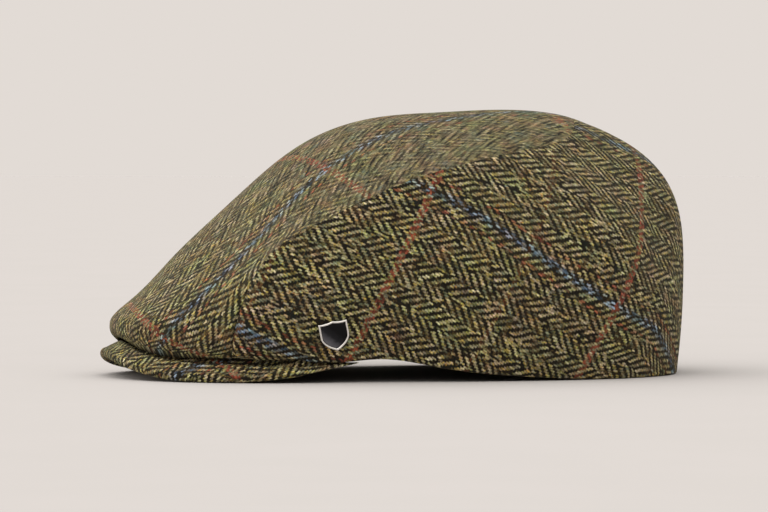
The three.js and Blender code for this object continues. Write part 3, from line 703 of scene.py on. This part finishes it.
# The front edge stands off the peak and bulges out over it, and settles to the height there.
ahead = unit(normal * (1, 1, 0))
fill = FRONT_FILL * share(1 - front / FILL_REACH) * (1 - across ** FILL_POWER)
moved = grid[0] + ahead[0] * fill[0, :, None]
settle = peak_top(moved[:, 0], moved[:, 1]) - peak_top(grid[0, :, 0], grid[0, :, 1])
slot = SLOT * share(1 - front / SLOT_REACH)[..., None] ** 2 * UP
slot = slot + ahead * fill[..., None] + (settle * fill / FRONT_FILL)[..., None] * UP
outer, inner = cloth_sides(grid, normal, lift, slot, np.minimum(seam, back), front)
top_panel = cloth_piece("top_panel_cloth", outer, inner, top_weave, top_weave, nap_and_sheen)
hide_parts("top_panel")

# Side panels
# Two mirrored pieces of the same tweed, from the front corner round to the middle of the back.
# Each is sewn to the top panel above and to the other at the back; its hem is turned in below.

HEM_PULL = 0.56  # how far the wall follows its flare, as a share of the rib
SEAM_PULL = 0.35  # how far the wall follows its lean, as a share of the rib
FLAT_PULL = 0.2  # how much further it does where it lies flat at the seam
FLAT_POWER = 4  # how quickly that fades as the wall stands up
SIDE_HEIGHT = 100.0  # about, for the mesh step
SIDE_START = 0.004  # share of the crown's length where the panel starts, at the front corner
SIDE_FLAT_START = 0.03  # the same for its flat cut, which keeps a little height there
SIDE_FLAT_GRID = (46, 21)  # places along and up it
SHORT_RIB = 60.0  # where the panel is lower than this, its seams sink in less
PEAK_CALM = 6.0  # distance from the peak's tips over which the rolled edge sets in
SIDE_CALM = (15, 12, 15, 30)  # distances from the seam, hem, back and front over which unevenness does
SIDE_NAP = 0.0  # the sides show their weave bare
# Side view y, z of places on a blue line and on a red line.
SIDE_BLUE = [(-7.3, 90.3), (39.5, 63.2), (66.4, 45.7), (107.7, 22.9)]
SIDE_REDS = [(-17.5, 52.5)]
# Soft dents of the standing cloth on the left panel, in the side view.
DENTS = [
    # y, z, half length, half width, turn in degrees, depth
    (1, 37, 34, 11, -22, 1.6),
    (-23, 76, 20, 9, 28, 1.2),
    (117, 62, 26, 9, 84, 1.4),
    (-63, 46, 15, 8, 55, 1.0),
]


def side_grid(along, up):
    """Points of the left panel's outer side; up runs from 0 at the hem to 1 at the seam."""
    _, seam, hem, shape = rib_at(along)
    flare, lean = np.radians(shape[:, 0:1]), np.radians(shape[:, 1:2])
    ahead = rib_at(along + 1)[2]
    behind = rib_at(np.maximum(along - 1, 0))[2]
    out = unit(np.cross(ahead - behind, UP) * (1, 1, 0))
    reach = np.linalg.norm(hem - seam, axis=1, keepdims=True)
    low = hem + HEM_PULL * reach * (out * np.sin(flare) + UP * np.cos(flare))
    follow = reach * (SEAM_PULL + FLAT_PULL * np.cos(lean) ** FLAT_POWER)
    high = seam + follow * (out * np.cos(lean) - UP * np.sin(lean))
    t = up[None, :, None]
    grid = ((1 - t) ** 3 * hem[:, None] + 3 * t * (1 - t) ** 2 * low[:, None]
            + 3 * t ** 2 * (1 - t) * high[:, None] + t ** 3 * seam[:, None])
    grid[..., 0] = np.maximum(grid[..., 0], 0)
    return grid


def dent_depth(grid):
    """How far the dents draw the left panel in."""
    depth = np.zeros(grid.shape[:2])
    for y, z, half_length, half_width, turn, deep in DENTS:
        offset = ((grid[..., 1] - y) + 1j * (grid[..., 2] - z)) * np.exp(-1j * math.radians(turn))
        depth += deep * np.exp(-(offset.real / half_length) ** 2 - (offset.imag / half_width) ** 2)
    return depth


along = RIB_LENGTH * (SIDE_START + (1 - SIDE_START) * mesh_shares(RIB_LENGTH))
up = mesh_shares(SIDE_HEIGHT)
grid = side_grid(along, up)
coarse_along = RIB_LENGTH * np.linspace(SIDE_FLAT_START, 1, SIDE_FLAT_GRID[0])
coarse_up = np.linspace(0, 1, SIDE_FLAT_GRID[1])
coarse = side_grid(coarse_along, coarse_up)
side_flat = fine_flat(flatten(coarse), coarse_along, coarse_up, along, up)
side_weave = lay_grain(side_flat, grid, (1, 2), SIDE_BLUE, SIDE_REDS)
normal = grid_normals(grid)
front, back, low, high = edge_distances(grid)
seam = np.minimum(high, back)
to_point = share(np.maximum(high, back) / POINT_REACH) * share((low + high) / SHORT_RIB)
sink = SEAM_SINK * np.exp(-(seam / SEAM_REACH) ** 2) * to_point
roll = ROLL * rounded(low, ROLL_REACH) * share((PEAK_TIP_Y - grid[:, :1, 1]) / PEAK_CALM)
calm = 1.0
for distance, reach in zip((high, low, back, front), SIDE_CALM):
    calm = calm * share(distance / reach)
tuck = np.sin(math.pi * up)[None, :]
opened = share((grid[:, :1, 1] - SLOT_ENDS[0]) / (SLOT_ENDS[1] - SLOT_ENDS[0]))
slot = (SLOT * share(1 - low / SLOT_REACH) ** 2 * opened)[..., None] * UP
for name, node, side, seed in (
        ("side_panel_left_cloth", "side_panel_left", 1, 11),
        ("side_panel_right_cloth", "side_panel_right", -1, 12)):
    ripple = PUCKER * puckers(front, seed) * np.exp(-high / PUCKER_REACH)
    swell = RELIEF * slow_relief(side_flat, seed) * calm
    dent = dent_depth(grid) * tuck if side == 1 else 0
    lift = ripple + swell - sink - dent - roll
    sides = cloth_sides(grid, normal, lift, slot, seam, np.minimum(front, low))
    outer, inner = (points[:, ::side] * (side, 1, 1) for points in sides)
    weave = side_weave[:, ::side]
    panel = cloth_piece(name, outer, inner, weave, weave, SIDE_NAP)
    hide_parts(node)

# Peak
# A stiff crescent board wrapped in the same tweed, its cloth turned round a rounded edge.
# It is sewn in under the front of the crown and curves down at both sides.

PEAK_NOSE = 2.2  # how far the rounded edge goes beyond the top surface
TIP_THIN = (78.0, 90.0)  # degrees between which the board runs out thin at its tips
TIP_LEAST = 0.3  # share of the thickness that is left there
TIP_TAIL = 7.0  # how far the tips run on under the hem
TAIL_START = 70.0  # degrees from the middle where they start to
TAIL_LIFT = 0.7  # how far their ends rise, up to the hem
DIP = 3.2  # depth of the fold in the peak's cloth right under the crown's edge
DIP_SIDES = (-0.3, 1.2)  # how far inside that edge it starts and is deepest
DIP_END = 0.4  # share of the peak's width over which it runs out at the inner edge
DIP_MOST = 0.7  # share of the thickness that it takes at most
EDGE_STEPS = (200, 500)  # places tried along the crown's front edge and half of its hem
PEAK_STEPS = (181, 44, 9)  # places along the peak, over its top and round its edge
PEAK_FLAT_GRID = (49, 11)  # places along and across its flat cut
PEAK_NAP = 0.0  # the peak shows its weave bare too
PEAK_BLUE = [(59.0, -97.0), (59.0, -113.0)]  # plan x, y of two places on a blue line
PEAK_REDS = [(0.0, -101.0)]  # plan x, y of a place on a red line


def peak_grid(angles, shares):
    """Top and under side of the peak; shares run 0..1 to the outer edge, then 1..2 round it."""
    angle = angles[:, None]
    across = np.minimum(shares, 1)[None, :]
    bend = np.maximum(shares - 1, 0)[None, :] * math.pi / 2
    top = peak_point(angle, across)
    thick = peak_heights(np.abs(angles))[:, 2][:, None]
    thick = thick * np.interp(np.abs(angle), TIP_THIN, (1.0, TIP_LEAST))
    under_z = np.maximum(top[..., 2] - thick, 0)
    tail = share((np.abs(angle) - TAIL_START) / (90 - TAIL_START)) ** 2
    top[..., 1] += TIP_TAIL * tail
    top[..., 2] += TAIL_LIFT * tail ** 2
    under_z += TAIL_LIFT * tail ** 2
    turn = np.radians(angle)
    out = unit(np.stack([np.sin(turn) / PEAK_OUTER[0], -np.cos(turn) / PEAK_OUTER[1], 0 * turn], axis=-1))
    reach = PEAK_NOSE * thick / PEAK_ROWS[0, 3] * np.sin(bend)
    level = (top[..., 2] + under_z) / 2
    half = (top[..., 2] - under_z) / 2 * np.cos(bend)
    plan = top[..., :2] + (out * reach[..., None])[..., :2]
    upper = np.concatenate([plan, (level + half)[..., None]], axis=-1)
    lower = np.concatenate([plan, (level - half)[..., None]], axis=-1)
    return upper, lower


angles = np.linspace(90, -90, PEAK_STEPS[0])
flat_shares = np.linspace(0, 1, PEAK_STEPS[1])
round_shares = 1 + np.sin(np.linspace(0, math.pi / 2, PEAK_STEPS[2])[1:])
shares = np.concatenate([flat_shares, round_shares])
edge = len(flat_shares) - 1
upper, lower = peak_grid(angles, shares)
# The stitches that hold the peak under the crown draw its cloth down into a fold there.
front_edge = top_grid(np.zeros(1), np.linspace(0, 1, EDGE_STEPS[0]))[0]
side_edge = rib_at(np.linspace(0, RIB_LENGTH / 2, EDGE_STEPS[1]))[2]
crown_edge = np.vstack([front_edge, side_edge[side_edge[:, 1] < PEAK_TIP_Y]])[:, :2]
edge_angle, edge_share = peak_place(crown_edge[:, 0], crown_edge[:, 1])
order = np.argsort(edge_angle)
is_inside = np.interp(np.abs(angles), edge_angle[order], edge_share[order])[:, None] > shares
plan = np.abs(upper[..., 0]) + 1j * upper[..., 1]
to_edge = np.abs(plan[..., None] - (crown_edge[:, 0] + 1j * crown_edge[:, 1])).min(axis=-1)
dip = DIP * np.interp(np.where(is_inside, to_edge, -to_edge), DIP_SIDES, (0.0, 1.0))
dip *= share(shares / DIP_END)
upper[..., 2] -= np.minimum(dip, (upper[..., 2] - lower[..., 2]) * DIP_MOST)
lower[:, 0] = upper[:, 0]
coarse_angles = np.linspace(90, -90, PEAK_FLAT_GRID[0])
coarse_shares = np.linspace(0, 1, PEAK_FLAT_GRID[1])
coarse_flat = flatten(peak_grid(coarse_angles, coarse_shares)[0])
peak_flat = fine_flat(coarse_flat, -coarse_angles, coarse_shares, -angles, flat_shares)
# Round the edge the cloth goes on square to the edge, as far as the edge is long.
onward = 1j * np.gradient(peak_flat[:, edge])[:, None]
outward = peak_flat[:, edge:] - peak_flat[:, edge - 1:edge]
onward *= np.sign((onward * np.conj(outward)).real)
beyond = edge_distances(upper[:, edge:])[2][:, 1:]
round_edge = peak_flat[:, edge:] + beyond * onward / np.abs(onward)
peak_flat = np.hstack([peak_flat, round_edge])
peak_weave = lay_grain(peak_flat, upper, (0, 1), PEAK_BLUE, PEAK_REDS)
under_weave = 2 * peak_weave[:, -1:] - peak_weave
peak = cloth_piece("peak_cloth", upper, lower, peak_weave, under_weave, PEAK_NAP)
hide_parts("peak")

# Badge
# A small plain shield, stamped in brass and nickel plated, with dark enamel in its sunk face.
# A post on its back goes through the left side panel and is held inside by a round clutch.

BADGE_PLACE = (-45.4, 22.5)  # side view y, z of its middle on the panel
BADGE_TURN = 12.0  # degrees that it leans towards the front
BADGE_LIFT = 0.45  # how far its back stands off the cloth
BADGE_SEARCH = (121, 81)  # places along and up the panel that are tried for its seat
SHIELD_SIDE = 6.6  # half width
SHIELD_TOP = 5.9  # above its middle
SHIELD_BOTTOM = 7.5  # below it
CREST_DIP = 0.5  # how far the top edge dips and its middle rises
SHOULDER = -0.6  # where the straight sides end
BELLY = 0.62  # handle of the lower curves, as a share of the bottom
BELLY_IN = 0.4  # how far in that handle lies
POINT_INSET = 1.25  # the bottom point draws in faster than the sides
POST_RADIUS = 0.7
CLUTCH_RADIUS = 3.2
CLUTCH = 1.2  # thickness of the clutch
CLUTCH_BEVEL = 0.3
POST_BITE = 0.1  # how far the post goes into the plate and the clutch
CIRCLE_STEPS = 32
WIPE_MARKS = (900.0, 4000.0, 900.0)  # per metre, so a wiping mark is about 1 mm by 0.25 mm
ENAMEL_WAVES = 700.0  # per metre, so a wave is about 1.4 mm
# Painted reflection: the enamel is painted grey on one side of its face and black on the other.
ENAMEL_REFLECTION_FADE = (-7.0, 3.0)  # distances from the middle, across the face, of grey and black
PLATE_RINGS = [
    # inset from the outline, height above the back
    (0.2, 0.0), (0.0, 0.2), (0.0, 1.15), (0.08, 1.36), (0.25, 1.48), (0.45, 1.5),
    (0.65, 1.48), (0.82, 1.38), (0.9, 1.2), (0.9, 0.9),
]
ENAMEL_RINGS = [(1.02, 1.0), (1.0, 1.1), (1.02, 1.24), (1.2, 1.34), (1.6, 1.4), (2.4, 1.46), (3.4, 1.5)]


def shield(inset, steps=14):
    """Outline of the shield as complex numbers, drawn in by an inset."""
    side = SHIELD_SIDE - inset
    top = SHIELD_TOP - inset
    bottom = -SHIELD_BOTTOM + POINT_INSET * inset
    belly = side - BELLY_IN + 1j * bottom * BELLY
    corners = [-side + 1j * top, 1j * (top + CREST_DIP), side + 1j * top,
               side + 1j * SHOULDER, 1j * bottom, -side + 1j * SHOULDER]
    dip = 1j * (top - CREST_DIP)
    handles = [-side / 2 + dip, side / 2 + dip, side + 1j * (top + SHOULDER) / 2,
               belly, -belly.conjugate(), -side + 1j * (top + SHOULDER) / 2]
    t = np.linspace(0, 1, steps, endpoint=False)
    curves = [(1 - t) ** 2 * a + 2 * t * (1 - t) * h + t ** 2 * b
              for a, h, b in zip(corners, handles, corners[1:] + corners[:1])]
    return np.concatenate(curves)


def loft(outlines, heights):
    """Vertices and faces of a closed body through flat outlines, with a point in each end."""
    count = len(outlines[0])
    points = [np.stack([ring.real, ring.imag, np.full(count, height)], -1)
              for ring, height in zip(outlines, heights)]
    points += [points[0].mean(axis=0, keepdims=True), points[-1].mean(axis=0, keepdims=True)]
    here = np.arange(count)
    beside = np.roll(here, -1)
    faces = []
    for k in range(len(outlines) - 1):
        low, high = k * count, (k + 1) * count
        faces += np.stack([here + low, here + high, beside + high, beside + low], -1).tolist()
    last = (len(outlines) - 1) * count
    bottom = last + count
    faces += np.stack([beside, np.full(count, bottom), here], -1).tolist()
    faces += np.stack([here + last, np.full(count, bottom + 1), beside + last], -1).tolist()
    return np.concatenate(points), faces


def badge_piece(name, bodies, material):
    """One piece from closed bodies in the badge's own plane, set on the left panel."""
    points, faces = [], []
    for body_points, body_faces in bodies:
        start = sum(len(p) for p in points)
        points.append(body_points)
        faces += [[start + corner for corner in face] for face in body_faces]
    return add_piece(name, badge_origin + np.concatenate(points) @ badge_axes, faces, material)


def make_nickel():
    """Polished nickel plate: a bright warm mirror, softened by fine wiping marks."""
    material, tree = blank_material("polished_nickel_plate")
    place = add(tree, "TexCoord").outputs["Object"]
    marks = add(tree, "VectorMath MULTIPLY", place, WIPE_MARKS)
    marks = add(tree, "TexNoise", marks, None, 1.0, 3.0, 0.6)
    tone = set_stops(add(tree, "ValToRGB", marks), [(0.3, "#dedbd5"), (0.7, "#f4f1ec")])
    dull = add(tree, "MapRange", marks, 0.3, 0.7, 0.14, 0.3)
    shader = add(tree, "BsdfPrincipled", tone)
    tree.links.new(dull.outputs[0], shader.inputs["Roughness"])
    shader.inputs["Metallic"].default_value = 1.0
    add(tree, "OutputMaterial", shader)
    return material


def make_enamel():
    """Fired enamel: deep black with a painted reflection that turns it grey towards one corner, a little
    wavy from melting.
    """
    material, tree = blank_material("black_enamel")
    place = add(tree, "TexCoord").outputs["Object"]
    waves = add(tree, "TexNoise", place, None, ENAMEL_WAVES, 2.0, 0.5)
    # Painted reflection: a grey to black gradient across the face, fixed in the colour.
    slant = badge_axes[0] + badge_axes[1]
    across_face = add(tree, "VectorMath DOT_PRODUCT", place, tuple(slant)).outputs["Value"]
    ends = [(float(badge_origin @ slant) + end) * MM for end in ENAMEL_REFLECTION_FADE]
    painted_reflection = add(tree, "MapRange", across_face, *ends, 0.0, 1.0)
    painted_reflection = add(tree, "Math MULTIPLY_ADD", waves, 0.2, painted_reflection)
    tone = set_stops(add(tree, "ValToRGB", painted_reflection), [(0.1, "#5c5b60"), (0.6, "#1c1c1f"), (1.0, "#070708")])
    gloss = add(tree, "MapRange", waves, 0.3, 0.7, 0.06, 0.16)
    bump = add(tree, "Bump", 0.15, 0.05 * MM, None, waves)
    shader = add(tree, "BsdfPrincipled", tone)
    tree.links.new(gloss.outputs[0], shader.inputs["Roughness"])
    tree.links.new(bump.outputs[0], shader.inputs["Normal"])
    shader.inputs["IOR"].default_value = 1.52
    shader.inputs["Specular IOR Level"].default_value = 0.12
    add(tree, "OutputMaterial", shader)
    return material


seat_along = RIB_LENGTH / 2 * np.linspace(0, 1, BADGE_SEARCH[0])
seat_up = np.linspace(0, 1, BADGE_SEARCH[1])
seat = nearest(side_grid(seat_along, seat_up), (1, 2), BADGE_PLACE)
beside = np.array([-1, 0, 1])
around = side_grid(seat_along[seat[0]] + beside, seat_up[seat[1]] + beside / 100)
facing = unit(np.cross(around[2, 1] - around[0, 1], around[1, 2] - around[1, 0]))
upright = unit(UP - facing * facing[2])
lean = np.exp(1j * math.radians(BADGE_TURN))
sideways = np.cross(upright, facing)
badge_axes = np.stack([
    sideways * lean.real + upright * lean.imag, upright * lean.real - sideways * lean.imag, facing])
badge_origin = around[1, 1] + facing * BADGE_LIFT

circle = np.exp(-1j * np.linspace(0, math.tau, CIRCLE_STEPS + 1)[:-1])
clutch_top = -BADGE_LIFT - CLOTH - 2 * GAP
clutch_bottom = clutch_top - CLUTCH
plate = loft([shield(inset) for inset, _ in PLATE_RINGS], [height for _, height in PLATE_RINGS])
post = loft([circle * POST_RADIUS] * 2, [clutch_top - POST_BITE, POST_BITE])
clutch = loft(
    [circle * (CLUTCH_RADIUS - bevel) for bevel in (CLUTCH_BEVEL, 0, 0, CLUTCH_BEVEL)],
    [clutch_bottom, clutch_bottom + CLUTCH_BEVEL, clutch_top - CLUTCH_BEVEL, clutch_top])
badge_plate = badge_piece("badge_shield_plate", [plate, post, clutch], make_nickel())
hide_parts("badge_plate")
fill = loft([shield(inset) for inset, _ in ENAMEL_RINGS], [height for _, height in ENAMEL_RINGS])
badge_enamel = badge_piece("badge_enamel_face", [fill], make_enamel())
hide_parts("badge_enamel")

# Floor, light and camera
# A seamless pale paper floor under an even studio sky that is brighter overhead.
# The camera looks at the cap's left side from just above the floor.

CAMERA_TURN = 78.0  # degrees round from the front to the wearer's left
CAMERA_RISE = 1.2  # degrees above level
CAMERA_AWAY = 2.0  # metres from the point it looks at
PIXELS_PER_MM = 2.13  # of the photograph, at that point
IMAGE_WIDTH = 768
AIM_OFFSET = (11, -10)  # pixels of the aim point from the middle of the picture
AIM_HEIGHT = 60.0  # of that point, in mm
SENSOR = 36.0
FAR = 200.0  # metres up to which the camera sees
FLOOR_RADIUS = 40.0  # metres
FLOOR_SIDES = 96
PAPER_GRAIN = 900.0  # per metre, so a grain is about 1 mm
SKY = "#e2dbd5"
OVERHEAD = (1.64, 1.6, 1.56, 1.0)  # brighter than white, so not a hex colour
OVERHEAD_FROM = (0.15, 0.9)  # heights of the sky between which it takes over
FRONT_LIGHT = 0.8  # how much more light comes from the front than from the camera's backdrop
BACK_SHADE = 0.65  # how much less comes from the back
EVEN_SKY = (0.1, 0.32)  # headings along y between which the backdrop in view is even

floor_mesh = bpy.data.meshes.new("floor")
ring = np.exp(1j * np.linspace(0, math.tau, FLOOR_SIDES + 1)[:-1]) * FLOOR_RADIUS
floor_mesh.from_pydata([(p.real, p.imag, 0.0) for p in ring], [], [list(range(FLOOR_SIDES))])
floor = bpy.data.objects.new("floor", floor_mesh)
bpy.context.collection.objects.link(floor)
paper, tree = blank_material("backdrop_paper")
grain = add(tree, "TexNoise", None, None, PAPER_GRAIN, 2.0, 0.6)
tone = set_stops(add(tree, "ValToRGB", grain), [(0.0, "#b9b6b3"), (1.0, "#bdb9b7")])
shader = add(tree, "BsdfPrincipled", tone)
shader.inputs["Roughness"].default_value = 0.95
shader.inputs["Specular IOR Level"].default_value = 0.0
add(tree, "OutputMaterial", shader)
floor_mesh.materials.append(paper)

world = bpy.data.worlds.new("studio")
bpy.context.scene.world = world
world.use_nodes = True
tree = world.node_tree
tree.nodes.clear()
heading = add(tree, "SeparateXYZ", add(tree, "TexCoord").outputs["Generated"])
height = heading.outputs["Z"]
high = add(tree, "MapRange", height, *OVERHEAD_FROM, 0.0, 1.0, interpolation_type="SMOOTHSTEP")
sky = add(tree, "MixRGB", high, linear(SKY), OVERHEAD)
ahead = add(tree, "MapRange", heading.outputs["Y"], -1.0, EVEN_SKY[0], 1 + FRONT_LIGHT, 1.0)
behind = add(tree, "MapRange", heading.outputs["Y"], EVEN_SKY[1], 1.0, 1.0, 1 - BACK_SHADE)
strength = add(tree, "Math MULTIPLY", ahead, behind)
add(tree, "OutputWorld", add(tree, "Background", sky, strength))

turn, tilt = math.radians(CAMERA_TURN), math.radians(CAMERA_RISE)
toward = np.array([math.sin(turn) * math.cos(tilt), -math.cos(turn) * math.cos(tilt), math.sin(tilt)])
rightward = np.array([math.cos(turn), math.sin(turn), 0.0])
upward = np.cross(toward, rightward)
aim = UP * AIM_HEIGHT
aim = (aim - (rightward * AIM_OFFSET[0] + upward * -AIM_OFFSET[1]) / PIXELS_PER_MM) * MM
camera_data = bpy.data.cameras.new("camera")
camera_data.sensor_width = SENSOR
camera_data.lens = SENSOR * CAMERA_AWAY / (IMAGE_WIDTH / PIXELS_PER_MM * MM)
camera_data.clip_end = FAR
camera = bpy.data.objects.new("camera", camera_data)
bpy.context.collection.objects.link(camera)
axes = np.stack([rightward, upward, toward], axis=1)
stand = (aim + CAMERA_AWAY * toward)[:, None]
camera.matrix_world = Matrix([*np.hstack([axes, stand]).tolist(), [0, 0, 0, 1]])
bpy.context.scene.camera = camera
bpy.context.scene.view_settings.view_transform = "Standard"
